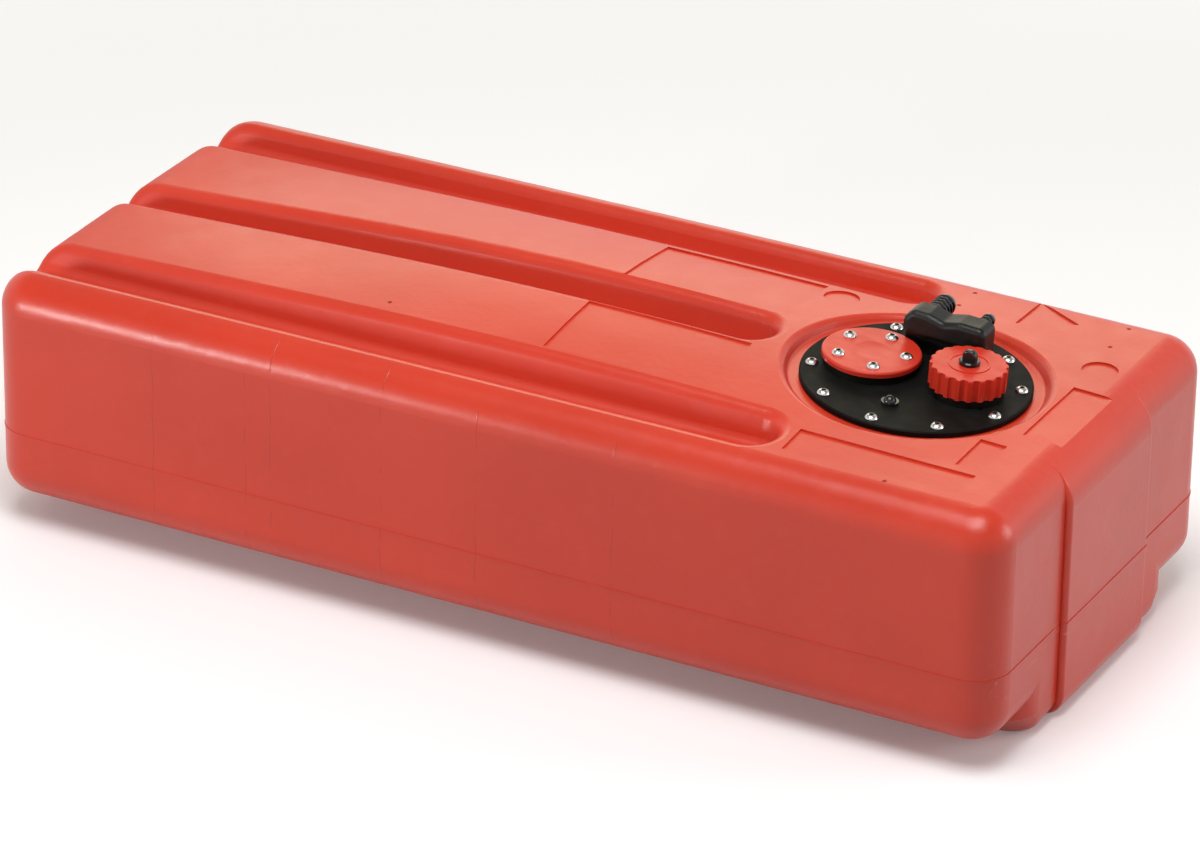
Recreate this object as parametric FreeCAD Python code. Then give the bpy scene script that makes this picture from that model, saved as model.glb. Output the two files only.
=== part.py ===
import FreeCAD, Part
import math
import os

# Portable fuel tank for an outboard motor: a hollow rotationally moulded shell with a
# round fittings plate screwed into a recess near one end. Millimetres, +Z up.
# Origin: on the floor under the middle of the tank. The fittings end is at +X.

V = FreeCAD.Vector
os.makedirs("parts", exist_ok=True)

# ---------------------------------------------------------------- tank shell
body_length = 800.0
body_width = 354.0
side_height = 174.5
wall = 5.0
corner_radius = 28.0
shoulder_radius = 26.0
floor_radius = 25.0

# keel: the deeper middle of the underside, which the tank stands on
keel_depth = 20.0
keel_flat_width = 210.0
keel_top_width = 254.0
keel_corner_radius = 28.0
keel_radius = 17.0

# parting line: the thin raised flash where the two mould halves met
parting_z = 74.3
flash_rise = 0.5
flash_height = 0.9

# end panel: the raised middle of the +X end
panel_rise = 4.5
panel_width = 138.0
panel_edge_radius = 3.6
panel_top_radius = 31.0

# crown: the top bulges softly above its rim; a share of 0 leaves the rim level, 1 a full arch
crown_height = 16.0
crown_end_share = 0.5
crown_side_share = 0.25

# three stiffening grooves that run out over the -X end
groove_pitch = 126.0
groove_depth = 18.0
groove_draft = 20.0
groove_floor_radius = 8.0
groove_lip_radius = 9.0
side_groove_width = 41.5
side_groove_from_end = 192.0
middle_groove_width = 31.5
middle_groove_from_end = 261.0

# ---------------------------------------------------------------- seat for the plate
seat_from_end = 147.2
seat_drop = 1.3
seat_fall = 3.45
seat_radius = 90.0
seat_wall_slope = 30.0
seat_floor_radius = 3.0
seat_rim_radius = 5.0
seat_thickness = 14.0
seat_ring_width = 25.0
tank_mouth_radius = 57.0

# ---------------------------------------------------------------- label recesses
# Shallow bare panels in the top. Lengths run along X, and places along X count from the seat.
label_depth = 1.4
note_start = -243.8
note_length = 129.0
note_margin = 10.5
strip_start = -33.0
strip_length = 132.3
strip_width = 29.5
strip_from_side = 34.0
tab_start = 79.9
tab_length = 19.7
tab_width = 41.5
tab_from_middle = 64.0
end_label_start = 101.2
end_label_length = 30.0
end_label_width = 85.0
triangle_x = 35.5
triangle_from_side = 39.0
triangle_radius = 26.5
disc_radius = 13.0
groove_disc_x = -97.6
groove_disc_y = 81.0
end_disc_x = 105.2
end_disc_y = 77.5

# ---------------------------------------------------------------- plate and its screws
plate_radius = 82.0
plate_thickness = 3.8
plate_chamfer = 1.0
dimple_radius = 1.5
dimple_depth = 0.8
dimple_x = 57.8
dimple_y = -18.4
gasket_thickness = 1.2
gasket_inset = 2.0
screw_circle_radius = 73.75
screw_count = 10
screw_phase = 18.7

shank_radius = 2.4
screw_hole_radius = 2.9
head_radius = 4.75
head_height = 2.75
hex_across_flats = 3.0
hex_depth = 1.6
insert_radius = 4.0
insert_length = 10.0
insert_clearance = 0.1

# ---------------------------------------------------------------- gauge sender port
sender_x = -35.6
boss_radius = 33.5
boss_height = 5.0
sender_bore_radius = 20.0
sender_gasket_thickness = 1.0
cover_radius = 35.2
cover_thickness = 4.0
cover_rim_radius = 1.5
cover_dish_radius = 13.0
cover_dish_depth = 0.6
cover_spigot_length = 2.5
cover_spigot_clearance = 0.3
cover_circle_radius = 25.0
cover_screw_count = 5
cover_screw_phase = 10.0
boss_insert_length = 7.0

# ---------------------------------------------------------------- filler neck and cap
neck_x = 38.5
neck_radius = 22.6
neck_bore_radius = 19.0
neck_height = 17.0
collar_radius = 26.0
collar_height = 5.0
cap_radius = 27.5
cap_roof = 3.0
cap_clearance = 1.4
cap_floor_gap = 0.7
cap_rim_radius = 1.0
scallop_count = 20
scallop_radius = 3.4
scallop_depth = 1.8
cap_ring_radius = 15.0
cap_ring_width = 1.6
cap_ring_height = 0.5
cap_seal_thickness = 2.0
cap_seal_width = 5.0

# ---------------------------------------------------------------- vent knob in the cap
spindle_radius = 3.0
spindle_clearance = 0.2
vent_travel = 1.5
vent_seal_thickness = 1.0
vent_seal_radius = 6.5
knob_radius = 7.5
knob_flange = 2.0
knob_grip_width = 10.4
knob_grip_thickness = 5.4
knob_grip_height = 7.4
knob_crest_radius = 4.4
knob_edge_radius = 1.6
clip_thickness = 1.0
clip_radius = 5.0
clip_neck_radius = 2.2
clip_air = 0.4

# ---------------------------------------------------------------- outlet block and barbs
port_height = 21.0
vent_port_x = -15.0
fuel_port_x = 20.5
block_left_reach = 12.5
block_right_reach = 15.0
block_crest = 33.0
block_saddle = 30.0
block_crest_half = 6.0
block_knee_drop = 7.0
block_crown_radius = 6.0
block_foot_front = 35.0
block_overhang_front = 28.5
block_overhang_height = 14.0
block_back = 47.0
block_corner_radius = 4.6
block_nose_radius = 4.4
foot_edge_radius = 2.6
vent_bore_radius = 4.0
fuel_bore_radius = 2.8
barb_thread_length = 6.0
vent_thread_radius = 5.6
fuel_thread_radius = 4.2
thread_clearance = 0.05
barb_seal_thickness = 1.2
barb_seal_width = 1.4
vent_barb_radius = 7.9
vent_barb_length = 29.5
vent_barb_count = 6
fuel_barb_radius = 4.9
fuel_barb_length = 25.5
fuel_barb_count = 5
barb_land = 0.6
barb_bite = 0.9
port_seal_offset = 0.6
port_seal_width = 1.6
port_seal_depth = 1.4
block_screw_x = -4.0
block_screw_spread = 10.0
block_screw_length = 14.0

# ---------------------------------------------------------------- pickup inside the tank
tube_radius = 4.0
tube_bore_radius = 2.8
tube_grip = 7.0
tube_clearance = 0.1
push_clearance = 0.03
nut_across_flats = 13.0
nut_length = 9.0
strainer_radius = 8.0
strainer_length = 26.0
strainer_wall = 1.2
strainer_slots = 10
strainer_slot_width = 2.4
strainer_floor_gap = 6.0
strainer_grip = 6.0

# ---------------------------------------------------------------- spare port
spare_x = 2.0
spare_y = -47.0
spare_hole_radius = 4.6
spare_clearance = 0.1
plug_radius = 6.2
plug_flange = 1.4
plug_dome_radius = 4.6
plug_stem_length = 9.0
plug_seal_thickness = 0.8
plug_seal_radius = 5.8

# ---------------------------------------------------------------- places that follow
overall_length = body_length + panel_rise
x_left = -overall_length / 2
x_right = x_left + body_length
x_middle = (x_left + x_right) / 2
top_z = keel_depth + side_height
seat_x = x_right - seat_from_end
seat_z = top_z - seat_drop

plate_under = gasket_thickness
plate_top = plate_under + plate_thickness
block_left = vent_port_x - block_left_reach
block_right = fuel_port_x + block_right_reach
block_middle_y = (block_foot_front + block_back) / 2
neck_top = plate_top + neck_height
cap_ceiling = neck_top + cap_seal_thickness
cap_top = cap_ceiling + cap_roof
boss_top = plate_top + boss_height
cover_under = boss_top + sender_gasket_thickness
cover_top = cover_under + cover_thickness
barb_z = plate_top + port_height


# ---------------------------------------------------------------- helpers
def on_seat(shape):
    """Place a shape drawn on the plate's axis onto the sloping seat of the tank."""
    placed = shape.copy()
    seat = FreeCAD.Placement(V(seat_x, 0, seat_z), FreeCAD.Rotation(V(0, 1, 0), seat_fall))
    placed.Placement = seat.multiply(placed.Placement)
    return placed


def tube(outer, inner, low, high, x=0.0, y=0.0):
    """A round tube, or a plain cylinder when inner is 0, standing on (x, y)."""
    body = Part.makeCylinder(outer, high - low, V(x, y, low))
    if inner > 0:
        body = body.cut(Part.makeCylinder(inner, high - low, V(x, y, low)))
    return body


def revolve(points, x=0.0, y=0.0):
    """Turn a closed (radius, height) outline about the vertical line through (x, y)."""
    wire = Part.makePolygon([V(r, 0, z) for r, z in points + points[:1]])
    solid = Part.Face(wire).revolve(V(0, 0, 0), V(0, 0, 1), 360)
    solid.translate(V(x, y, 0))
    return solid


def circle_places(count, radius, phase, x=0.0, y=0.0):
    """Evenly spaced (x, y) places round a circle; phase in degrees."""
    places = []
    for i in range(count):
        angle = math.radians(phase + 360.0 * i / count)
        places.append((x + radius * math.cos(angle), y + radius * math.sin(angle)))
    return places


def hexagon(across_flats, low, high, x=0.0, y=0.0):
    """An upright hexagonal prism."""
    corners = circle_places(6, across_flats / math.sqrt(3), 0, x, y)
    wire = Part.makePolygon([V(px, py, low) for px, py in corners + corners[:1]])
    return Part.Face(wire).extrude(V(0, 0, high - low))


def button_screw(x, y, under_head, length):
    """Button-head screw with a domed head on under_head and a hexagon socket."""
    rim = 0.5
    high = under_head + head_height
    edge = V(head_radius, 0, under_head + rim)
    crest = V(hex_across_flats / math.sqrt(3) + 0.2, 0, high)
    bulge = V(0.76 * head_radius, 0, under_head + 0.72 * head_height)
    sides = Part.makePolygon([crest, V(0, 0, high), V(0, 0, under_head),
                              V(head_radius, 0, under_head), edge]).Edges
    dome = Part.Arc(edge, bulge, crest).toShape()
    head = Part.Face(Part.Wire(sides + [dome])).revolve(V(0, 0, 0), V(0, 0, 1), 360)
    head.translate(V(x, y, 0))
    shank = tube(shank_radius, 0, under_head - length, under_head, x, y)
    return head.fuse(shank).cut(hexagon(hex_across_flats, high - hex_depth, high + 1, x, y))


def save(name, solids):
    """Write one node: a single solid or a group of separate solids."""
    shape = solids if not isinstance(solids, list) else Part.makeCompound(solids)
    shape.exportStep("parts/" + name + ".step")


# ---------------------------------------------------------------- tank shell
def bell(u, edge_share):
    """Falls from 1 in the middle to 0 at u = 1, where edge_share sets the slope that is left."""
    return (1 - edge_share) * (1 - u * u) ** 2 + edge_share * (1 - u * u)


def crowned_slab(inset):
    """A slab wider than the tank whose upper face is the softly bulging top."""
    steps = 6
    overhang = 1.03
    rows = []
    for i in range(steps + 1):
        u = overhang * (2.0 * i / steps - 1)
        row = []
        for j in range(steps + 1):
            v = overhang * (2.0 * j / steps - 1)
            rise = crown_height * bell(u, crown_end_share) * bell(v, crown_side_share)
            row.append(V(x_middle + u * body_length / 2, v * body_width / 2, top_z - inset + rise))
        rows.append(row)
    surface = Part.BSplineSurface()
    surface.interpolate(rows)
    return surface.toShape().extrude(V(0, 0, -2 * side_height))


def rounded_block(inset):
    """The main body: a box under the crowned top, with every edge rounded."""
    box = Part.makeBox(body_length - 2 * inset, body_width - 2 * inset, side_height + crown_height,
                       V(x_left + inset, -body_width / 2 + inset, keel_depth + inset))
    upright = [e for e in box.Edges if e.BoundBox.ZLength > side_height / 2]
    box = box.makeFillet(corner_radius - inset, upright)
    box = box.common(crowned_slab(inset)).Solids[0]
    rim = [e for e in box.Edges if e.BoundBox.ZMin > top_z - inset - 1]
    box = box.makeFillet(shoulder_radius - inset, rim)
    lower = [e for e in box.Edges if e.BoundBox.ZMax < keel_depth + inset + 0.1]
    return box.makeFillet(floor_radius - inset, lower)


def rounded_rectangle(x_low, x_high, half, radius, z):
    """A closed outline with four round corners, level at z and centred on y = 0."""
    sides = []
    corners = [(x_high - radius, -half + radius, -90), (x_high - radius, half - radius, 0),
               (x_low + radius, half - radius, 90), (x_low + radius, -half + radius, 180)]
    for i, (x, y, start) in enumerate(corners):
        arc = Part.makeCircle(radius, V(x, y, z), V(0, 0, 1), start, start + 90)
        before = sides[-1].Vertexes[-1].Point if sides else None
        if before:
            sides.append(Part.makeLine(before, arc.Vertexes[0].Point))
        sides.append(arc)
    sides.append(Part.makeLine(sides[-1].Vertexes[-1].Point, sides[0].Vertexes[0].Point))
    return Part.Wire(sides)


def keel_block(inset):
    """The keel: a flat-bottomed ridge with sloping sides and round ends, reaching up inside."""
    levels = [(keel_flat_width, inset), (keel_top_width, keel_depth + inset),
              (keel_top_width, keel_depth + 2 * floor_radius)]
    outlines = [rounded_rectangle(x_left + inset, x_right - inset, (width - inset) / 2,
                                  keel_corner_radius - inset, z) for width, z in levels]
    keel = Part.makeLoft(outlines, True, True)
    low = [e for e in keel.Edges if e.BoundBox.ZMax < inset + 0.1]
    return keel.makeFillet(keel_radius - inset, low)


def end_panel(inset):
    """The raised panel on the +X end: the end's own profile, moved out, with round sides."""
    half = panel_width / 2 - inset
    depth = 2 * shoulder_radius
    front = x_right + panel_rise - inset
    box = Part.makeBox(depth, 2 * half, top_z - 2 * inset, V(front - depth, -half, inset))
    for radius, z in ((panel_top_radius - inset, top_z - inset), (keel_radius - inset, inset)):
        across = [e for e in box.Edges if e.BoundBox.XMin > front - 0.1
                  and abs(e.BoundBox.ZMin - z) < 0.1 and abs(e.BoundBox.ZMax - z) < 0.1]
        box = box.makeFillet(radius, across)
    sides = [e for e in box.Edges if e.BoundBox.YLength < 0.1
             and e.BoundBox.XMax > front - depth + 0.1]
    return box.makeFillet(panel_edge_radius / 2 if inset else panel_edge_radius, sides)


def stadium(half, start, end, y, z):
    """A slot outline, square at its start and round at its end."""
    low = V(start, y - half, z)
    low_end = V(end, y - half, z)
    high_end = V(end, y + half, z)
    high = V(start, y + half, z)
    nose = Part.Arc(low_end, V(end + half, y, z), high_end).toShape()
    return Part.Wire([Part.makeLine(low, low_end), nose, Part.makeLine(high_end, high),
                      Part.makeLine(high, low)])


def groove_cutter(width, from_end, y, inset):
    """The space of one groove, drafted, with a rounded floor and a round blind end."""
    spread = math.tan(math.radians(groove_draft))
    headroom = 2 * crown_height
    start = x_left - 2 * shoulder_radius
    centre = x_right - from_end - width / 2
    floor = stadium(width / 2 - groove_depth * spread + inset, start, centre, y,
                    top_z - groove_depth - inset)
    mouth = stadium(width / 2 + headroom * spread + inset, start, centre, y,
                    top_z + headroom - inset)
    cutter = Part.makeLoft([floor, mouth], True, True)
    low = [e for e in cutter.Edges if e.BoundBox.ZMax < top_z - groove_depth - inset + 0.1
           and e.BoundBox.XMax > x_left]
    return cutter.makeFillet(groove_floor_radius + inset / 2, low)


def seat_recess(inset):
    """The round recess for the plate, on the plate's own axis."""
    slope = math.tan(math.radians(seat_wall_slope))
    floor = seat_radius + inset
    high = 2 * crown_height
    cone = Part.makeCone(floor, floor + (high + inset) * slope, high + inset, V(0, 0, -inset))
    low = [e for e in cone.Edges if e.BoundBox.ZMax < -inset + 0.1]
    return on_seat(cone.makeFillet(seat_floor_radius, low))


def cut_and_round(body, cutter, radius):
    """Cut a recess and round every edge where its wall breaks out through the body."""
    carved = body.cut(cutter).Solids[0]
    skin = body.Shells[0]
    lips = []
    for edge in carved.Edges:
        middle = Part.Vertex(edge.valueAt((edge.FirstParameter + edge.LastParameter) / 2))
        if middle.distToShape(cutter.Shells[0])[0] < 0.01 and middle.distToShape(skin)[0] < 0.02:
            lips.append(edge)
    rounded = carved.makeFillet(radius, lips)
    if not rounded.isValid():
        rounded.fix(1e-5, 1e-5, 1e-3)
    return rounded


def tank_form(inset):
    """The tank's outer form, or its cavity when inset is the wall."""
    form = rounded_block(inset).fuse([keel_block(inset), end_panel(inset)]).Solids[0]
    cutters = [groove_cutter(side_groove_width, side_groove_from_end, -groove_pitch, inset),
               groove_cutter(middle_groove_width, middle_groove_from_end, 0, inset),
               groove_cutter(side_groove_width, side_groove_from_end, groove_pitch, inset)]
    if inset:
        return form.cut(cutters + [seat_recess(inset)])
    for cutter in cutters:
        form = cut_and_round(form, cutter, groove_lip_radius)
    return cut_and_round(form, seat_recess(inset), seat_rim_radius)


def label_panel(start, length, y_low, y_high):
    """A rectangular column over one label, placed from the seat."""
    return Part.makeBox(length, y_high - y_low, 2 * crown_height,
                        V(seat_x + start, y_low, top_z - crown_height))


def label_recesses():
    """Shallow pockets that follow the crowned top: four kinds of panel, a triangle, two discs."""
    side = body_width / 2
    note_low = middle_groove_width / 2 + note_margin
    note_high = groove_pitch - side_groove_width / 2 - note_margin
    low = top_z - crown_height
    high = top_z + crown_height
    columns = [label_panel(note_start, note_length, note_low, note_high),
               label_panel(note_start, note_length, -note_high, -note_low),
               label_panel(strip_start, strip_length, strip_from_side - side,
                           strip_from_side - side + strip_width),
               label_panel(tab_start, tab_length, -tab_from_middle - tab_width, -tab_from_middle),
               label_panel(end_label_start, end_label_length, -end_label_width / 2,
                           end_label_width / 2),
               tube(disc_radius, 0, low, high, seat_x + groove_disc_x, groove_disc_y),
               tube(disc_radius, 0, low, high, seat_x + end_disc_x, end_disc_y)]
    corners = circle_places(3, triangle_radius, 0, seat_x + triangle_x, side - triangle_from_side)
    wire = Part.makePolygon([V(x, y, low) for x, y in corners + corners[:1]])
    columns.append(Part.Face(wire).extrude(V(0, 0, high - low)))
    floor = crowned_slab(label_depth)
    return [column.cut(floor) for column in columns]


def parting_flash(form):
    """The thin ridge that follows the tank's outline at the parting height."""
    outline = form.slice(V(0, 0, 1), parting_z - flash_height / 2)[0]
    face = Part.Face(outline)
    ridge = face.makeOffset2D(flash_rise).cut(face.makeOffset2D(-wall / 2))
    return ridge.extrude(V(0, 0, flash_height))


def make_tank_shell():
    """Outer form less the cavity; the seat is a thick ring that holds the inserts."""
    seat_ring = tube(tank_mouth_radius + seat_ring_width, tank_mouth_radius,
                     -seat_thickness, crown_height)
    cavity = tank_form(wall).cut(on_seat(seat_ring))
    form = tank_form(0)
    shell = form.fuse(parting_flash(form)).cut([cavity] + label_recesses())
    mouth = tube(tank_mouth_radius, 0, -seat_thickness - wall, wall)
    holes = [on_seat(mouth)]
    for x, y in circle_places(screw_count, screw_circle_radius, screw_phase):
        holes.append(on_seat(tube(insert_radius, 0, -insert_length, 1, x, y)))
        holes.append(on_seat(tube(screw_hole_radius, 0, -insert_length - 2, 1, x, y)))
    return shell.cut(holes)


def make_inserts(count, radius, phase, x, top, length):
    """Threaded brass inserts, flush with the face that they are set in."""
    bore = shank_radius + insert_clearance
    return [on_seat(tube(insert_radius, bore, top - length, top, px, py))
            for px, py in circle_places(count, radius, phase, x)]


def make_screws(count, radius, phase, x, under_head, length):
    """A ring of identical button-head screws."""
    return [on_seat(button_screw(px, py, under_head, length))
            for px, py in circle_places(count, radius, phase, x)]


# ---------------------------------------------------------------- plate
def plate_passages():
    """Every hole that goes right through the plate."""
    low = plate_under - nut_length
    holes = [tube(sender_bore_radius, 0, low, boss_top + 1, sender_x, 0),
             tube(neck_bore_radius, 0, low, neck_top + 1, neck_x, 0),
             tube(spare_hole_radius, 0, low, plate_top + 1, spare_x, spare_y),
             tube(vent_bore_radius, 0, low, plate_top + 1, vent_port_x, block_middle_y),
             tube(tube_radius + tube_clearance, 0, low, plate_top + 1, fuel_port_x, block_middle_y)]
    for x, y in circle_places(screw_count, screw_circle_radius, screw_phase):
        holes.append(tube(screw_hole_radius, 0, low, plate_top + 1, x, y))
    for x, y in block_screw_places():
        holes.append(tube(screw_hole_radius, 0, low, plate_top + 1, x, y))
    for x, y in circle_places(cover_screw_count, cover_circle_radius, cover_screw_phase, sender_x):
        holes.append(tube(insert_radius, 0, boss_top - boss_insert_length, boss_top + 1, x, y))
    return holes


def block_screw_places():
    """Two screws from below, between the two ports of the outlet block."""
    return [(block_screw_x, block_middle_y), (block_screw_x + block_screw_spread, block_middle_y)]


def make_plate():
    """Moulded plate with the sender boss, the filler neck and its collar."""
    disc = tube(plate_radius, 0, plate_under, plate_top)
    rim = [e for e in disc.Edges if e.BoundBox.ZMin > plate_top - 0.1]
    disc = disc.makeChamfer(plate_chamfer, rim)
    boss = tube(boss_radius, 0, plate_under, boss_top, sender_x, 0)
    neck = tube(neck_radius, 0, plate_under, neck_top, neck_x, 0)
    collar = tube(collar_radius, 0, plate_under, plate_top + collar_height, neck_x, 0)
    dimple = tube(dimple_radius, 0, plate_top - dimple_depth, plate_top + 1, dimple_x, dimple_y)
    return disc.fuse([boss, neck, collar]).cut(plate_passages() + [dimple])


def make_plate_gasket():
    """Flat rubber ring between the seat and the plate, punched for the screws."""
    ring = tube(plate_radius - gasket_inset, tank_mouth_radius + gasket_inset, 0, gasket_thickness)
    holes = [tube(screw_hole_radius, 0, 0, gasket_thickness, x, y)
             for x, y in circle_places(screw_count, screw_circle_radius, screw_phase)]
    return ring.cut(holes)


# ---------------------------------------------------------------- sender cover
def make_sender_cover():
    """Blank cover with a rounded rim, a shallow dish and a register that enters the bore."""
    disc = tube(cover_radius, 0, cover_under, cover_top, sender_x, 0)
    rim = [e for e in disc.Edges if e.BoundBox.ZMin > cover_top - 0.1]
    disc = disc.makeFillet(cover_rim_radius, rim)
    spigot = tube(sender_bore_radius - cover_spigot_clearance, 0,
                  cover_under - cover_spigot_length, cover_under, sender_x, 0)
    ball_radius = (cover_dish_radius ** 2 + cover_dish_depth ** 2) / (2 * cover_dish_depth)
    dish = Part.makeSphere(ball_radius, V(sender_x, 0, cover_top - cover_dish_depth + ball_radius))
    holes = [tube(screw_hole_radius, 0, cover_under, cover_top, x, y) for x, y in
             circle_places(cover_screw_count, cover_circle_radius, cover_screw_phase, sender_x)]
    return disc.fuse(spigot).cut([dish] + holes)


def make_sender_gasket():
    """Thin ring between the boss and its cover."""
    ring = tube(boss_radius, sender_bore_radius, boss_top, cover_under, sender_x, 0)
    holes = [tube(screw_hole_radius, 0, boss_top, cover_under, x, y) for x, y in
             circle_places(cover_screw_count, cover_circle_radius, cover_screw_phase, sender_x)]
    return ring.cut(holes)


# ---------------------------------------------------------------- filler cap
def make_cap():
    """Screw cap with a scalloped skirt, hollow over the neck and bored for the spindle."""
    low = plate_top + collar_height + cap_floor_gap
    body = tube(cap_radius, 0, low, cap_top, neck_x, 0)
    rim = [e for e in body.Edges if e.BoundBox.ZMin > cap_top - 0.1]
    body = body.makeFillet(cap_rim_radius, rim)
    reach = cap_radius + scallop_radius - scallop_depth
    flutes = [tube(scallop_radius, 0, low - 1, cap_top + 1, x, y)
              for x, y in circle_places(scallop_count, reach, 0, neck_x)]
    ring = tube(cap_ring_radius, cap_ring_radius - cap_ring_width, cap_top,
                cap_top + cap_ring_height, neck_x, 0)
    hollow = tube(neck_radius + cap_clearance, 0, low - 1, cap_ceiling, neck_x, 0)
    bore = tube(spindle_radius + spindle_clearance, 0, low, cap_top + 1, neck_x, 0)
    return body.cut(flutes).fuse(ring).cut([hollow, bore])


def make_vent_knob():
    """Wing knob on a spindle that passes through the roof of the cap."""
    flange_low = cap_top + vent_seal_thickness
    grip_low = flange_low + knob_flange
    clip_high = cap_ceiling - vent_travel - clip_air
    clip_low = clip_high - clip_thickness
    body = revolve([(0, clip_low - clip_thickness), (spindle_radius, clip_low - clip_thickness),
                    (spindle_radius, clip_low), (clip_neck_radius, clip_low),
                    (clip_neck_radius, clip_high), (spindle_radius, clip_high),
                    (spindle_radius, flange_low), (knob_radius, flange_low),
                    (knob_radius, flange_low + 0.6 * knob_flange),
                    (knob_radius - 0.4 * knob_flange, grip_low), (0, grip_low)], neck_x, 0)
    grip = Part.makeBox(knob_grip_width, knob_grip_thickness, knob_grip_height,
                        V(neck_x - knob_grip_width / 2, -knob_grip_thickness / 2, grip_low))
    high = grip_low + knob_grip_height
    crest = [e for e in grip.Edges if e.BoundBox.YLength > 0.9 * knob_grip_thickness
             and e.BoundBox.ZMin > high - 0.1]
    grip = grip.makeFillet(knob_crest_radius, crest)
    faces = [e for e in grip.Edges if e.BoundBox.YLength < 0.1 and e.BoundBox.ZMax > grip_low + 0.1]
    return body.fuse(grip.makeFillet(knob_edge_radius, faces))


def make_vent_clip():
    """Open retaining clip in the spindle's groove, below the roof of the cap."""
    high = cap_ceiling - vent_travel - clip_air
    ring = tube(clip_radius, clip_neck_radius, high - clip_thickness, high, neck_x, 0)
    gap = Part.makeBox(clip_radius + 1, clip_neck_radius, 3 * clip_thickness,
                       V(neck_x, -clip_neck_radius / 2, high - 2 * clip_thickness))
    return ring.cut(gap)


# ---------------------------------------------------------------- outlet block
def along_y(radius, x, z, y_low, y_high):
    """A cylinder that lies along +Y."""
    return Part.makeCylinder(radius, y_high - y_low, V(x, y_low, z), V(0, 1, 0))


def port_seal_groove(x, bore):
    """Face groove round one passage in the underside of the block."""
    inner = bore + port_seal_offset
    return tube(inner + port_seal_width, inner, plate_top, plate_top + port_seal_depth,
                x, block_middle_y)


def make_block():
    """Moulded block: two low humps over the barbs, a saddle between them and a foot."""
    low = plate_top + block_overhang_height
    crest = plate_top + block_crest
    knee = crest - block_knee_drop
    middle = (vent_port_x + fuel_port_x) / 2
    depth = block_back - block_overhang_front
    outline = [(block_left, low), (block_left, knee), (vent_port_x - block_crest_half, crest),
               (vent_port_x + block_crest_half, crest), (middle, plate_top + block_saddle),
               (fuel_port_x - block_crest_half, crest), (block_right, crest), (block_right, low)]
    wire = Part.makePolygon([V(x, block_overhang_front, z) for x, z in outline + outline[:1]])
    upper = Part.Face(wire).extrude(V(0, depth, 0))
    along = [e for e in upper.Edges if e.BoundBox.YLength > depth - 0.1]
    crown = [e for e in along if e.BoundBox.ZMin > low + 0.1]
    upper = upper.makeFillet(block_crown_radius, crown)
    under = [e for e in upper.Edges if e.BoundBox.YLength > depth - 0.1
             and e.BoundBox.ZMax < low + 0.1]
    upper = upper.makeFillet(block_corner_radius, under)
    nose = [e for e in upper.Edges if e.BoundBox.YMax < block_overhang_front + 0.1]
    upper = upper.makeFillet(block_nose_radius, nose)
    foot = Part.makeBox(block_right - block_left, block_back - block_foot_front,
                        block_overhang_height + block_corner_radius,
                        V(block_left, block_foot_front, plate_top))
    front = [e for e in foot.Edges if e.BoundBox.ZLength > block_overhang_height
             and e.BoundBox.YMax < block_foot_front + 0.1]
    block = upper.fuse(foot.makeFillet(foot_edge_radius, front))
    passages = [tube(vent_bore_radius, 0, plate_top, barb_z, vent_port_x, block_middle_y),
                tube(fuel_bore_radius, 0, plate_top, barb_z, fuel_port_x, block_middle_y),
                tube(tube_radius + push_clearance, 0, plate_top, plate_top + tube_grip, fuel_port_x,
                     block_middle_y),
                along_y(vent_bore_radius, vent_port_x, barb_z, block_middle_y, block_back),
                along_y(fuel_bore_radius, fuel_port_x, barb_z, block_middle_y, block_back),
                along_y(vent_thread_radius + thread_clearance, vent_port_x, barb_z,
                        block_back - barb_thread_length, block_back),
                along_y(fuel_thread_radius + thread_clearance, fuel_port_x, barb_z,
                        block_back - barb_thread_length, block_back),
                port_seal_groove(vent_port_x, vent_bore_radius),
                port_seal_groove(fuel_port_x, tube_radius)]
    for x, y in block_screw_places():
        passages.append(tube(shank_radius, 0, plate_top,
                             plate_under + block_screw_length, x, y))
    return block.cut(passages)


def make_barb(x, radius, length, count, thread_radius, bore):
    """Hose barb: a threaded stub, a round collar and saw-tooth ribs to the tip."""
    seal_end = block_back + barb_seal_thickness
    collar_end = seal_end + 2 * barb_seal_thickness
    pitch = (block_back + length - collar_end) / count
    rise = 0.15 * pitch
    outline = [(bore, block_back - barb_thread_length + 1),
               (thread_radius, block_back - barb_thread_length + 1),
               (thread_radius, seal_end), (thread_radius + barb_seal_width, seal_end),
               (thread_radius + barb_seal_width, collar_end)]
    for i in range(count):
        start = collar_end + i * pitch
        outline.append((radius - barb_bite, start))
        outline.append((radius, start + rise))
        outline.append((radius, start + rise + barb_land))
        outline.append((radius - barb_bite, start + pitch))
    outline.append((bore, block_back + length))
    barb = revolve(outline)
    barb.Placement = FreeCAD.Placement(V(x, 0, barb_z), FreeCAD.Rotation(V(1, 0, 0), -90))
    return barb


def make_barb_seal(x, thread_radius):
    """Washer between a barb's collar and the face of the block."""
    ring = along_y(thread_radius + barb_seal_width, x, barb_z, block_back,
                   block_back + barb_seal_thickness)
    hole = along_y(thread_radius, x, barb_z, block_back, block_back + barb_seal_thickness)
    return ring.cut(hole)


def make_block_screws():
    """Two screws that hold the block down, with their heads under the plate."""
    screws = []
    for x, y in block_screw_places():
        screw = button_screw(0, 0, 0, block_screw_length)
        turn = FreeCAD.Rotation(V(1, 0, 0), 180)
        screw.Placement = FreeCAD.Placement(V(x, y, plate_under), turn)
        screws.append(on_seat(screw))
    return screws


# ---------------------------------------------------------------- pickup
def tube_end():
    """Height of the tube's lower end on the plate's axis, a little above the tank's floor."""
    fall = math.radians(seat_fall)
    drop = seat_z - fuel_port_x * math.sin(fall) - wall - strainer_floor_gap
    return -(drop / math.cos(fall) - strainer_length)


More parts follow.
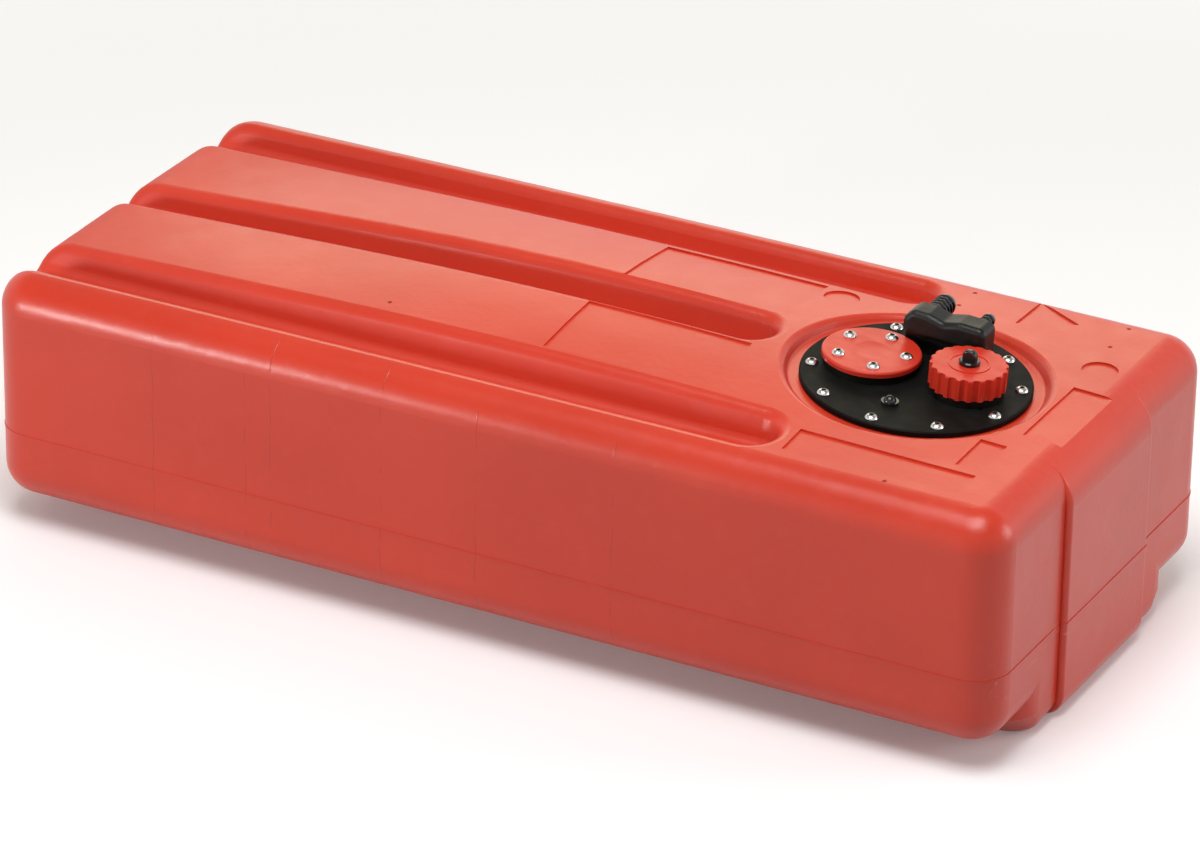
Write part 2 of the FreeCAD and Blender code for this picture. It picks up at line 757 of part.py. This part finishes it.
def make_pickup_tube():
    """Dip tube from the outlet block nearly to the floor of the tank."""
    return tube(tube_radius, tube_bore_radius, tube_end() - strainer_grip, plate_top + tube_grip,
                fuel_port_x, block_middle_y)


def make_pickup_nut():
    """Gland nut that holds the tube under the plate."""
    nut = hexagon(nut_across_flats, plate_under - nut_length, plate_under,
                  fuel_port_x, block_middle_y)
    return nut.cut(tube(tube_radius + tube_clearance, 0, plate_under - nut_length, plate_under,
                        fuel_port_x, block_middle_y))


def make_strainer():
    """Slotted cup pushed over the lower end of the tube."""
    high = tube_end()
    low = high - strainer_length
    cup = tube(strainer_radius, 0, low, high, fuel_port_x, block_middle_y)
    hollow = tube(strainer_radius - strainer_wall, 0, low + strainer_wall, high - strainer_grip,
                  fuel_port_x, block_middle_y)
    socket = tube(tube_radius + push_clearance, 0, high - strainer_grip, high, fuel_port_x,
                  block_middle_y)
    slot_low = low + 2 * strainer_wall
    slot_high = high - strainer_grip - strainer_wall
    slots = []
    for i in range(strainer_slots):
        slot = Part.makeBox(2 * strainer_radius, strainer_slot_width, slot_high - slot_low,
                            V(0, -strainer_slot_width / 2, slot_low))
        turn = FreeCAD.Rotation(V(0, 0, 1), 360.0 * i / strainer_slots)
        slot.Placement = FreeCAD.Placement(V(fuel_port_x, block_middle_y, 0), turn)
        slots.append(slot)
    return cup.cut([hollow, socket] + slots)


# ---------------------------------------------------------------- spare port
def make_spare_plug():
    """Domed blanking plug for the port that is not in use."""
    head_low = plate_top + plug_seal_thickness
    head = tube(plug_radius, 0, head_low, head_low + plug_flange, spare_x, spare_y)
    dome = Part.makeSphere(plug_dome_radius, V(spare_x, spare_y, head_low + 0.5 * plug_flange))
    keep = tube(plug_radius, 0, head_low, head_low + 2 * plug_dome_radius, spare_x, spare_y)
    stem = tube(spare_hole_radius - spare_clearance, 0, head_low - plug_stem_length,
                head_low, spare_x, spare_y)
    return head.fuse([dome.common(keep), stem])


# ---------------------------------------------------------------- write the nodes
save("tank_shell", make_tank_shell())
save("seat_inserts", make_inserts(screw_count, screw_circle_radius, screw_phase, 0, 0,
                                  insert_length))
save("plate_gasket", on_seat(make_plate_gasket()))
save("fittings_plate", on_seat(make_plate()))
save("plate_screws", make_screws(screw_count, screw_circle_radius, screw_phase, 0, plate_top,
                                 plate_top + insert_length))
save("boss_inserts", make_inserts(cover_screw_count, cover_circle_radius, cover_screw_phase,
                                  sender_x, boss_top, boss_insert_length))
save("sender_gasket", on_seat(make_sender_gasket()))
save("sender_cover", on_seat(make_sender_cover()))
save("cover_screws", make_screws(cover_screw_count, cover_circle_radius, cover_screw_phase,
                                 sender_x, cover_top, cover_top - boss_top + boss_insert_length))
save("filler_cap", on_seat(make_cap()))
save("cap_seal", on_seat(tube(neck_radius, neck_radius - cap_seal_width, neck_top, cap_ceiling,
                              neck_x, 0)))
save("vent_knob", on_seat(make_vent_knob()))
save("vent_seal", on_seat(tube(vent_seal_radius, spindle_radius + spindle_clearance, cap_top,
                               cap_top + vent_seal_thickness, neck_x, 0)))
save("vent_clip", on_seat(make_vent_clip()))
save("outlet_block", on_seat(make_block()))
save("port_seals", [on_seat(port_seal_groove(vent_port_x, vent_bore_radius)),
                    on_seat(port_seal_groove(fuel_port_x, tube_radius))])
save("block_screws", make_block_screws())
save("vent_barb", on_seat(make_barb(vent_port_x, vent_barb_radius, vent_barb_length,
                                    vent_barb_count, vent_thread_radius, vent_bore_radius)))
save("fuel_barb", on_seat(make_barb(fuel_port_x, fuel_barb_radius, fuel_barb_length,
                                    fuel_barb_count, fuel_thread_radius, fuel_bore_radius)))
save("barb_seals", [on_seat(make_barb_seal(vent_port_x, vent_thread_radius)),
                    on_seat(make_barb_seal(fuel_port_x, fuel_thread_radius))])
save("pickup_tube", on_seat(make_pickup_tube()))
save("pickup_nut", on_seat(make_pickup_nut()))
save("pickup_strainer", on_seat(make_strainer()))
save("spare_plug", on_seat(make_spare_plug()))
save("spare_plug_seal", on_seat(tube(plug_seal_radius, spare_hole_radius, plate_top,
                                     plate_top + plug_seal_thickness, spare_x, spare_y)))
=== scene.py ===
import math

import bpy
import numpy as np
from mathutils import Matrix, Vector


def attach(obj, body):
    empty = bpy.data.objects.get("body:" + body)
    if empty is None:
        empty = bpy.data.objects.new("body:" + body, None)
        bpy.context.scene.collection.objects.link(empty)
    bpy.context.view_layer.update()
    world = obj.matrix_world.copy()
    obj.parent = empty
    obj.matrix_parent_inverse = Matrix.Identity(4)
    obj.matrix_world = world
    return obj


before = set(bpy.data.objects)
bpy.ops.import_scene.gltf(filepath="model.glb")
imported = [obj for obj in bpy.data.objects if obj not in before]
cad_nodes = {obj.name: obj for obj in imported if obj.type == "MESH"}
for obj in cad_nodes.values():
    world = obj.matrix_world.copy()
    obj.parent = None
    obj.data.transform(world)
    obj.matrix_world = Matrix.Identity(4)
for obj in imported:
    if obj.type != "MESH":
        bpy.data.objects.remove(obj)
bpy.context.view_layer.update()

# ---------------------------------------------------------------- tank shell
# One hollow piece of red polyethylene, rotomoulded in two steel mould halves. Its skin is
# satin, with a fine peel and soft dents where the wall shrank. Plugs of the mould's vents
# stand as small dots, darkened with painted shade, and its side plates left upright hairlines
# along the long sides.
vent_dots = ((0.3454, 0.1506), (0.3463, 0.1157), (0.2260, 0.1487), (0.2262, 0.1212),
             (-0.1214, -0.0861), (0.2991, -0.1505))
dot_radius = 0.0019
hairlines = (-0.2641, -0.1877, -0.1672, -0.0775, -0.0011, 0.1063)
hairline_reach = 0.0007
hairline_core = 0.0001
hairline_wander = 0.004
skin_depth = 0.0007
# a mask goes from 0 at the first to 1 at the second of these places, in metres
on_top = (0.17, 0.18)
under_shoulder = (0.204, 0.190)
under_crown = (0.202, 0.192)
up_to_parting = (0.050, 0.066)
past_parting = (0.080, 0.075)
fittings_end = (0.385, 0.394)
short_of_recess = (0.14, 0.12)
long_sides = (0.150, 0.170)
between_sides = (0.150, 0.140)


class Value:
    """A shader socket that takes part in arithmetic; every operator adds one Math node."""

    def __init__(self, graph, socket):
        self.graph = graph
        self.socket = socket

    def _math(self, operation, *terms):
        return self.graph.node("Math", {"operation": operation}, dict(enumerate(terms)))

    def __add__(self, other):
        return self._math("ADD", self, other)

    def __radd__(self, other):
        return self._math("ADD", other, self)

    def __sub__(self, other):
        return self._math("SUBTRACT", self, other)

    def __rsub__(self, other):
        return self._math("SUBTRACT", other, self)

    def __mul__(self, other):
        return self._math("MULTIPLY", self, other)

    def __rmul__(self, other):
        return self._math("MULTIPLY", other, self)

    def __pow__(self, other):
        return self._math("POWER", self, other)

    def __abs__(self):
        return self._math("ABSOLUTE", self)


class Graph:
    """A node tree that is filled in code, for a material or for the world."""

    def __init__(self, tree):
        self.tree = tree
        tree.nodes.clear()

    def node(self, kind, settings=None, inputs=None, output=0):
        """Add any shader node: its settings first, then a value or a link for each input."""
        made = self.tree.nodes.new("ShaderNode" + kind)
        for key, value in (settings or {}).items():
            setattr(made, key, value)
        for key, value in (inputs or {}).items():
            self.feed(made.inputs[key], value)
        return Value(self, made.outputs[output])

    def feed(self, socket, value):
        """Link a Value to a socket, or set a number, a vector or a colour of three parts."""
        if isinstance(value, Value):
            self.tree.links.new(value.socket, socket)
        elif socket.type == "RGBA":
            socket.default_value = (*value, 1.0)
        else:
            socket.default_value = value

    def end_in(self, kind, surface):
        """Add the tree's output node and feed it the finished surface."""
        output = self.tree.nodes.new("ShaderNodeOutput" + kind)
        self.feed(output.inputs[0], surface)

    def parts(self, vector):
        """The three parts of a vector."""
        first = self.node("SeparateXYZ", None, {0: vector})
        return [Value(self, part) for part in first.socket.node.outputs]

    def band(self, value, low, high, start=0.0, end=1.0):
        """Map value from low..high to start..end, held at both ends, with a smooth step."""
        return self.node("MapRange", {"interpolation_type": "SMOOTHSTEP"},
                         {"Value": value, "From Min": low, "From Max": high,
                          "To Min": start, "To Max": end})

    def mix(self, amount, first, second):
        """Colour first where amount is 0 and second where it is 1.

        Sockets 0, 6 and 7 and output 2 are the ones that a Mix node shows for colours.
        """
        return self.node("Mix", {"data_type": "RGBA"}, {0: amount, 6: first, 7: second}, output=2)


class Shader(Graph):
    """A material made in code: one Principled shader and whatever nodes feed it."""

    def __init__(self, name, **constants):
        self.material = bpy.data.materials.new(name)
        self.material.use_nodes = True
        super().__init__(self.material.node_tree)
        self.surface = self.tree.nodes.new("ShaderNodeBsdfPrincipled")
        self.end_in("Material", Value(self, self.surface.outputs[0]))
        self.set(**constants)

    def set(self, **inputs):
        """Feed the Principled shader's own sockets, with an underscore for each space."""
        for key, value in inputs.items():
            self.feed(self.surface.inputs[key.replace("_", " ")], value)

    def place(self):
        """The point in the object's frame, in metres."""
        return self.node("TexCoord", output="Object")

    def noise(self, size, detail=2.0, roughness=0.5, stretch=None):
        """Soft noise with features about size metres across; stretch scales it along X, Y, Z."""
        point = self.place()
        if stretch:
            point = self.node("Mapping", {"vector_type": "POINT"},
                              {"Vector": point, "Scale": stretch})
        return self.node("TexNoise", None, {"Vector": point, "Scale": 1.0 / size, "Detail": detail,
                                            "Roughness": roughness})

    def bump(self, height, depth):
        """A normal from a 0..1 height that stands depth metres tall."""
        return self.node("Bump", None, {"Height": height, "Strength": 1.0, "Distance": depth})


def scaled(colour, share):
    """The colour with each of its parts times share."""
    return tuple(share * part for part in colour)


def raised_dots(skin, x, y, z):
    """1 at each vent's place, falling to 0 at dot_radius from it on x and y; none on the sides."""
    flat = skin.node("CombineXYZ", None, {0: x, 1: y})
    dots = []
    for place in vent_dots:
        away = skin.node("VectorMath", {"operation": "DISTANCE"}, {0: flat, 1: (*place, 0.0)},
                         output="Value")
        dots.append(skin.band(away, dot_radius, 0.6 * dot_radius))
    return sum(dots) * skin.band(z, *on_top)


def mould_lines(skin, x, y, z):
    """Upright hairlines: 1 where |x - place| is under hairline_core, 0 past hairline_reach.

    Each wanders slightly with height. They show on the long sides, under the shoulder, and
    soft noise breaks them up.
    """
    wander = skin.noise(0.03, stretch=(0.2, 0.2, 1.0)) * hairline_wander - hairline_wander / 2
    lines = sum(skin.band(abs(x - place + wander), hairline_reach, hairline_core)
                for place in hairlines)
    sides = skin.band(abs(y), *long_sides)
    broken = skin.band(skin.noise(0.018, detail=3.0), 0.42, 0.60)
    return lines * sides * broken * skin.band(z, *under_shoulder)


def drag_marks(skin, x, z):
    """Scuffs along and under the fittings end's parting line: noise drawn out along y."""
    drag = skin.noise(0.0025, detail=3.0, stretch=(1.0, 0.12, 1.0))
    strip = skin.band(z, *up_to_parting) * skin.band(z, *past_parting)
    return skin.band(drag, 0.60, 0.68) * skin.band(x, *fittings_end) * strip


def duller(skin, x, y, z):
    """1 under the crown, between the long sides and short of the recess.

    The grooves' walls lie there, duller than the rest, and so do the plain end and the bottom.
    """
    inner = skin.band(abs(y), *between_sides) * skin.band(x, *short_of_recess)
    return skin.band(z, *under_crown) * inner


def rotomoulded(name, colour, deep, pale, scuffed):
    """Satin polyethylene: colour drifts slowly, roughness and peel vary finely."""
    skin = Shader(name)
    x, y, z = skin.parts(skin.place())
    drift = skin.noise(0.16, detail=3.0)
    cloud = skin.noise(0.02, detail=4.0, roughness=0.6)
    dots = raised_dots(skin, x, y, z)
    lines = mould_lines(skin, x, y, z)
    scuff = drag_marks(skin, x, z)
    tone = skin.mix(skin.band(drift, 0.35, 0.7), colour, deep)
    tone = skin.mix(skin.band(cloud, 0.5, 0.8, 0.0, 0.25), tone, pale)
    # painted shade: the vent dots are painted a dark red
    tone = skin.mix(dots * 0.8, tone, scaled(deep, 0.35))
    tone = skin.mix(lines * 0.34, tone, scaled(deep, 0.5))
    tone = skin.mix(scuff * 0.35, tone, scuffed)
    rough = skin.band(cloud, 0.25, 0.75, 0.285, 0.345) + scuff * 0.15
    rough = rough + duller(skin, x, y, z) * 0.22 + dots * 0.5
    peel = skin.noise(0.0011)
    pebble = skin.noise(0.006)
    dents = skin.noise(0.05, detail=1.0)
    height = peel * 0.08 + pebble * 0.15 + dents * 0.60 + dots * 0.5 + lines * 0.25
    skin.set(Base_Color=tone, Roughness=rough, Normal=skin.bump(height, skin_depth))
    return skin.material


def finish_node(name, material):
    """Give a carried CAD node its material."""
    node = cad_nodes[name]
    node.data.materials.clear()
    node.data.materials.append(material)


shell_red = rotomoulded("shell_red", colour=(0.67, 0.044, 0.016), deep=(0.61, 0.038, 0.014),
                        pale=(0.72, 0.070, 0.034), scuffed=(0.72, 0.25, 0.18))
finish_node("tank_shell", shell_red)

# ---------------------------------------------------------------- fittings plate
# Black glass-filled nylon, moulded: satin, with a faint grain. The sender boss and the neck,
# with its coarse thread of nearly two turns, are one piece with it. Rubber gaskets and washers
# seal it and what is fixed to it.
seat_x = 0.25055
seat_height = 0.1932
seat_tilt = math.radians(3.45)
seat = Matrix.Translation((seat_x, 0.0, seat_height)) @ Matrix.Rotation(seat_tilt, 4, "Y")
neck_x = 0.0385
thread_pitch = 0.005
ridge_width = 0.0019
ridge_sink = 0.0002
steps_per_turn = 96


def moulded_black(name, roughness, grain, colour, gloss):
    """Black moulded plastic or rubber: grain is the height of its texture in metres."""
    skin = Shader(name, Specular_IOR_Level=gloss)
    fine = skin.noise(0.0006)
    cloud = skin.noise(0.012, detail=3.0)
    mottle = skin.band(cloud, 0.4, 0.8, 0.0, 0.6)
    skin.set(Base_Color=skin.mix(mottle, colour, scaled(colour, 2.2)),
             Roughness=skin.band(cloud, 0.3, 0.7, roughness - 0.05, roughness + 0.07),
             Normal=skin.bump(fine, grain))
    return skin.material


def ridge_skin(name, rings, material, body):
    """A closed skin over rings of points, each joined to the next and the end ones to a pole.

    Ring i, point k joins point k + 1 and the same two points of ring i + 1. A pole is the mean
    of the end ring's points.
    """
    rows, columns = rings.shape[:2]
    index = np.arange(rows * columns).reshape(rows, columns)
    beside = np.roll(index, -1, axis=1)
    sides = np.stack([index[:-1], beside[:-1], beside[1:], index[1:]], axis=-1).reshape(-1, 4)
    poles = np.full(columns, rows * columns)
    start = np.stack([beside[0], index[0], poles], axis=-1)
    end = np.stack([index[-1], beside[-1], poles + 1], axis=-1)
    places = np.concatenate([rings.reshape(-1, 3), rings[[0, -1]].mean(axis=1)])
    mesh = bpy.data.meshes.new(name)
    mesh.from_pydata(places.tolist(), [], sides.tolist() + start.tolist() + end.tolist())
    mesh.materials.append(material)
    mesh.shade_smooth()
    piece = bpy.data.objects.new(name, mesh)
    bpy.context.scene.collection.objects.link(piece)
    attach(piece, body)


def thread(name, low, turns, root, crest, material, body):
    """Screw ridge round the neck's axis, from radius root to radius crest.

    At angle a it stands at height low + pitch a / 2 pi over the seat. Its section is a
    trapezoid, a little under half as wide at the crest. Over the first and last fifth of a
    turn it fades to no height and a fifth of its width. The root lies sunk in the wall.
    """
    a = np.linspace(0.0, 2 * math.pi * turns, int(steps_per_turn * turns))[:, None]
    fade = np.clip(np.minimum(a, a[-1] - a) / (2 * math.pi / 5), 0.0, 1.0)
    fade = fade * fade * (3 - 2 * fade)
    into_wall = math.copysign(1.0, root - crest)
    sunk = into_wall * ridge_sink * np.array([1, 0, 0, 0, 0, 1])
    stand = (crest - root) * np.array([0, 0, 1, 1, 0, 0])
    width = into_wall * ridge_width * np.array([-0.5, -0.5, -0.22, 0.22, 0.5, 0.5])
    radius = root + sunk + stand * fade
    height = low + thread_pitch * a / (2 * math.pi) + width * (0.2 + 0.8 * fade)
    points = np.stack([neck_x + radius * np.cos(a), radius * np.sin(a), height], axis=-1)
    points = points @ np.array(seat.to_3x3()).T + np.array(seat.translation)
    ridge_skin(name, points, material, body)


plate_black = moulded_black("plate_black", roughness=0.52, grain=0.00006,
                            colour=(0.006, 0.006, 0.005), gloss=0.07)
seal_rubber = moulded_black("seal_rubber", roughness=0.62, grain=0.00004,
                            colour=(0.010, 0.010, 0.010), gloss=0.3)
finish_node("fittings_plate", plate_black)
for seal in ("plate_gasket", "sender_gasket", "cap_seal", "vent_seal", "port_seals",
             "barb_seals", "spare_plug_seal"):
    finish_node(seal, seal_rubber)
thread("neck_thread", low=0.0112, turns=1.9, root=0.0226, crest=0.0235,
       material=plate_black, body="tank")

# ---------------------------------------------------------------- screws and inserts
# A2 stainless button heads with a hexagon socket, tumbled bright, with painted shade down in
# the sockets, dark and dull. They turn into brass inserts moulded into the shell and the sender
# boss.
socket_corner = 0.00195
socket_core = 0.00170
socket_shade_brown = (0.06, 0.055, 0.05)


def painted_socket_shade(skin, ring_x, ring_radius, count, phase):
    """1 inside the sockets of a ring of screws round ring_x on the plate: where shade is painted.

    With the point on the plate's own axes, its angle is wrapped to one step of the ring, and
    its distance to that screw's axis is under the socket's corner radius only in the socket.
    """
    point = skin.node("Mapping", {"vector_type": "TEXTURE"},
                      {"Vector": skin.place(), "Location": tuple(seat.translation),
                       "Rotation": tuple(seat.to_euler())})
    x, y, _ = skin.parts(point)
    x = x - ring_x
    step = math.pi / count
    angle = skin.node("Math", {"operation": "ARCTAN2"}, {0: y, 1: x}) - math.radians(phase)
    angle = skin.node("Math", {"operation": "WRAP"}, {0: angle, 1: step, 2: -step})
    reach = (x * x + y * y) ** 0.5
    across = reach * skin.node("Math", {"operation": "SINE"}, {0: angle})
    along = reach * skin.node("Math", {"operation": "COSINE"}, {0: angle}) - ring_radius
    return skin.band((across * across + along * along) ** 0.5, socket_corner, socket_core)


def tumbled_metal(name, colour, roughness, scratch, ring=None):
    """Metal with fine scratches that vary its roughness; a ring of screws also gets painted shade
    in its sockets.
    """
    skin = Shader(name, Metallic=1.0)
    lines = skin.noise(0.0008, detail=3.0, stretch=(1.0, 0.25, 1.0))
    tone = skin.mix(lines, colour, scaled(colour, 0.82))
    rough = skin.band(lines, 0.3, 0.7, roughness - 0.06, roughness + 0.08)
    if ring:
        socket_shade = painted_socket_shade(skin, **ring)
        # painted shade in the sockets: a darker brown, and duller
        tone = skin.mix(socket_shade * 0.9, tone, socket_shade_brown)
        rough = rough + socket_shade * 0.3
    skin.set(Base_Color=tone, Roughness=rough, Normal=skin.bump(lines, scratch))
    return skin.material


steel = {"colour": (0.72, 0.71, 0.68), "roughness": 0.24, "scratch": 0.00002}
plate_ring = {"ring_x": 0.0, "ring_radius": 0.07375, "count": 10, "phase": 18.7}
cover_ring = {"ring_x": -0.0356, "ring_radius": 0.025, "count": 5, "phase": 10.0}
plate_steel = tumbled_metal("plate_steel", **steel, ring=plate_ring)
cover_steel = tumbled_metal("cover_steel", **steel, ring=cover_ring)
stainless = tumbled_metal("stainless", **steel)
brass = tumbled_metal("brass", colour=(0.78, 0.56, 0.24), roughness=0.30, scratch=0.00003)
finish_node("plate_screws", plate_steel)
finish_node("cover_screws", cover_steel)
finish_node("block_screws", stainless)
for insert in ("seat_inserts", "boss_inserts"):
    finish_node(insert, brass)

# ---------------------------------------------------------------- sender cover and cap
# Injection-moulded red caps, glossier than the shell: the blank cover over the gauge port
# and the scalloped filler cap, which has its thread inside.


def moulded_red(name, colour, roughness):
    """Semi-gloss moulded plastic with a faint flow pattern."""
    skin = Shader(name, Specular_IOR_Level=0.38)
    flow = skin.noise(0.015, stretch=(1.0, 2.0, 1.0))
    fine = skin.noise(0.0007)
    streak = skin.band(flow, 0.4, 0.75, 0.0, 0.5)
    skin.set(Base_Color=skin.mix(streak, colour, scaled(colour, 0.88)),
             Roughness=skin.band(flow, 0.3, 0.7, roughness - 0.04, roughness + 0.06),
             Normal=skin.bump(fine, 0.00003))
    return skin.material


cap_red = moulded_red("cap_red", colour=(0.66, 0.036, 0.016), roughness=0.34)
for cap in ("sender_cover", "filler_cap"):
    finish_node(cap, cap_red)
thread("cap_thread", low=0.0137, turns=1.6, root=0.0240, crest=0.0231,
       material=cap_red, body="cap")

# ---------------------------------------------------------------- vent knob, block and barbs
# Glossy black acetal for what screws in: vent knob, barbs and spare plug. The outlet block
# is matt glass-filled nylon, and a steel clip keeps the vent knob's spindle in the cap.
gloss_black = moulded_black("gloss_black", roughness=0.16, grain=0.00001,
                            colour=(0.006, 0.006, 0.006), gloss=0.5)
block_black = moulded_black("block_black", roughness=0.36, grain=0.00010,
                            colour=(0.007, 0.007, 0.006), gloss=0.28)
for glossy in ("vent_knob", "vent_barb", "fuel_barb", "spare_plug"):
    finish_node(glossy, gloss_black)
finish_node("outlet_block", block_black)
finish_node("vent_clip", stainless)

# ---------------------------------------------------------------- pickup inside the tank
# A tube of natural grey-white polyethylene, held under the plate by a brass gland nut, with
# a slotted strainer of the same plastic pushed over its lower end.


def natural_plastic(name, colour):
    """Unpigmented plastic, slightly mottled."""
    skin = Shader(name)
    cloud = skin.noise(0.01, detail=3.0)
    skin.set(Base_Color=skin.mix(cloud, colour, scaled(colour, 0.85)),
             Roughness=skin.band(cloud, 0.3, 0.7, 0.35, 0.5))
    return skin.material


pickup_plastic = natural_plastic("pickup_plastic", colour=(0.62, 0.63, 0.60))
for pickup in ("pickup_tube", "pickup_strainer"):
    finish_node(pickup, pickup_plastic)
finish_node("pickup_nut", brass)

# ---------------------------------------------------------------- floor and light
# A plain white floor under soft studio light. The camera and every gloss see it as paper white
# with the tank's shadow on it; on the tank itself it throws less light than white paper does.
floor_size = 6.0
floor_lit = 0.75
floor_plain = 1.7
white = (1.0, 1.0, 1.0)
black = (0.0, 0.0, 0.0)
middle = Vector((0.0, 0.0, 0.15))


def grey(level):
    """A grey of that level."""
    return (level, level, level)


def seen_straight(graph):
    """1 for a ray from the camera, a gloss or a clear piece, and 0 for one that only lights."""
    return sum(graph.node("LightPath", output=f"Is {kind} Ray")
               for kind in ("Camera", "Glossy", "Transmission"))


def softbox(name, place, width, height, power, colour=white):
    """A rectangular area light at place that looks at the tank's middle."""
    lamp = bpy.data.lights.new(name, "AREA")
    lamp.color = colour
    lamp.shape = "RECTANGLE"
    lamp.size = width
    lamp.size_y = height
    lamp.energy = power
    light = bpy.data.objects.new(name, lamp)
    light.location = place
    light.rotation_mode = "QUATERNION"
    light.rotation_quaternion = (middle - Vector(place)).to_track_quat("-Z", "Y")
    bpy.context.scene.collection.objects.link(light)


corners = floor_size / 2 * np.array([[-1, -1, 0], [1, -1, 0], [1, 1, 0], [-1, 1, 0]])
floor_mesh = bpy.data.meshes.new("floor")
floor_mesh.from_pydata(corners.tolist(), [], [(0, 1, 2, 3)])
floor = bpy.data.objects.new("floor", floor_mesh)
bpy.context.scene.collection.objects.link(floor)
# away from the tank the floor fades from lit paper to the plain white of the walls
paper = Shader("paper", Roughness=0.9, Emission_Strength=1.0)
away = paper.node("VectorMath", {"operation": "LENGTH"}, {0: paper.place()}, output="Value")
far = paper.band(away, floor_lit, floor_plain)
straight = seen_straight(paper)
paper.set(Base_Color=paper.mix(straight, grey(0.50), paper.mix(far, grey(0.94), black)),
          Emission_Color=paper.mix(straight, black, paper.mix(far, grey(0.10), white)))
floor_mesh.materials.append(paper.material)

# the studio's soft light is stronger from behind the tank. The camera and every gloss see
# white walls all round, under a dim ceiling
world = bpy.data.worlds.new("studio")
bpy.context.scene.world = world
world.use_nodes = True
studio = Graph(world.node_tree)
_, depth, rise = studio.parts(studio.node("TexCoord", output="Generated"))
glow = studio.node("Background", None,
                   {"Color": white, "Strength": studio.band(depth, -0.7, 0.7, 0.14, 0.42)})
walls = studio.node("Background", None,
                    {"Color": white, "Strength": studio.band(rise, 0.45, 0.75, 1.0, 0.30)})
choice = studio.node("MixShader", None, {0: seen_straight(studio), 1: glow, 2: walls})
studio.end_in("World", choice)

softbox("overhead", (0.28, -0.70, 2.50), 1.5, 1.5, 49.0)
softbox("behind_left", (-1.25, 2.38, 1.49), 1.8, 0.9, 9.5, (1.0, 0.86, 0.50))
softbox("front_left", (-1.05, -1.45, 0.34), 0.32, 0.28, 9.0)
softbox("far_right", (2.30, 1.10, 0.90), 1.0, 1.0, 14.0)

# ---------------------------------------------------------------- camera
# Stands to the right of the tank's long side and above it, with a long lens, a little rolled.
# It looks past target, off to one side and upwards by the two aim lengths.
azimuth = math.radians(27.677)
elevation = math.radians(26.423)
roll = math.radians(0.919)
distance = 4.76159
target = Vector((-0.00225, 0.0, 0.020))
aim_right = 0.005728
aim_up = 0.065062

back = Vector((math.sin(azimuth) * math.cos(elevation),
               -math.cos(azimuth) * math.cos(elevation), math.sin(elevation)))
level = Vector((math.cos(azimuth), math.sin(azimuth), 0.0))
upright = back.cross(level)
right = level * math.cos(roll) + upright * math.sin(roll)
up = upright * math.cos(roll) - level * math.sin(roll)
camera_data = bpy.data.cameras.new("camera")
camera_data.lens = 197.496
camera_data.sensor_width = 36.0
camera = bpy.data.objects.new("camera", camera_data)
turned = Matrix((right, up, back)).transposed().to_4x4()
stand_at = target + right * aim_right + up * aim_up + back * distance
camera.matrix_world = Matrix.Translation(stand_at) @ turned
bpy.context.scene.collection.objects.link(camera)
bpy.context.scene.camera = camera
bpy.context.scene.view_settings.view_transform = "Standard"
